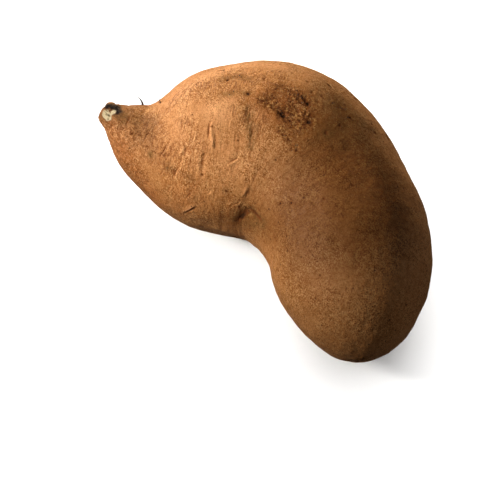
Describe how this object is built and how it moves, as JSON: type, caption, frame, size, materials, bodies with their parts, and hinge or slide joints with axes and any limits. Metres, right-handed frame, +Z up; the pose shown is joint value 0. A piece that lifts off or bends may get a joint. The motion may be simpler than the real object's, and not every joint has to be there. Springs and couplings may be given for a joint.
{
  "type": "sweet potato",
  "caption": "Whole raw sweet potato lying on its side: one bent tuber, thick in the middle, with a thin stalk-stub end and a blunt root end.",
  "frame": {"origin": "middle of the box, at the height of the surface the tuber lies on", "axes": "+X along the tuber's length from the stalk stub to the root end, +Z up, -Y towards the hollow of its bend"},
  "size_m": [0.1588, 0.0926, 0.077],
  "materials": {
    "skin": null
  },
  "bodies": {
    "root": {"tuber": "skin"}
  },
  "joints": []
}
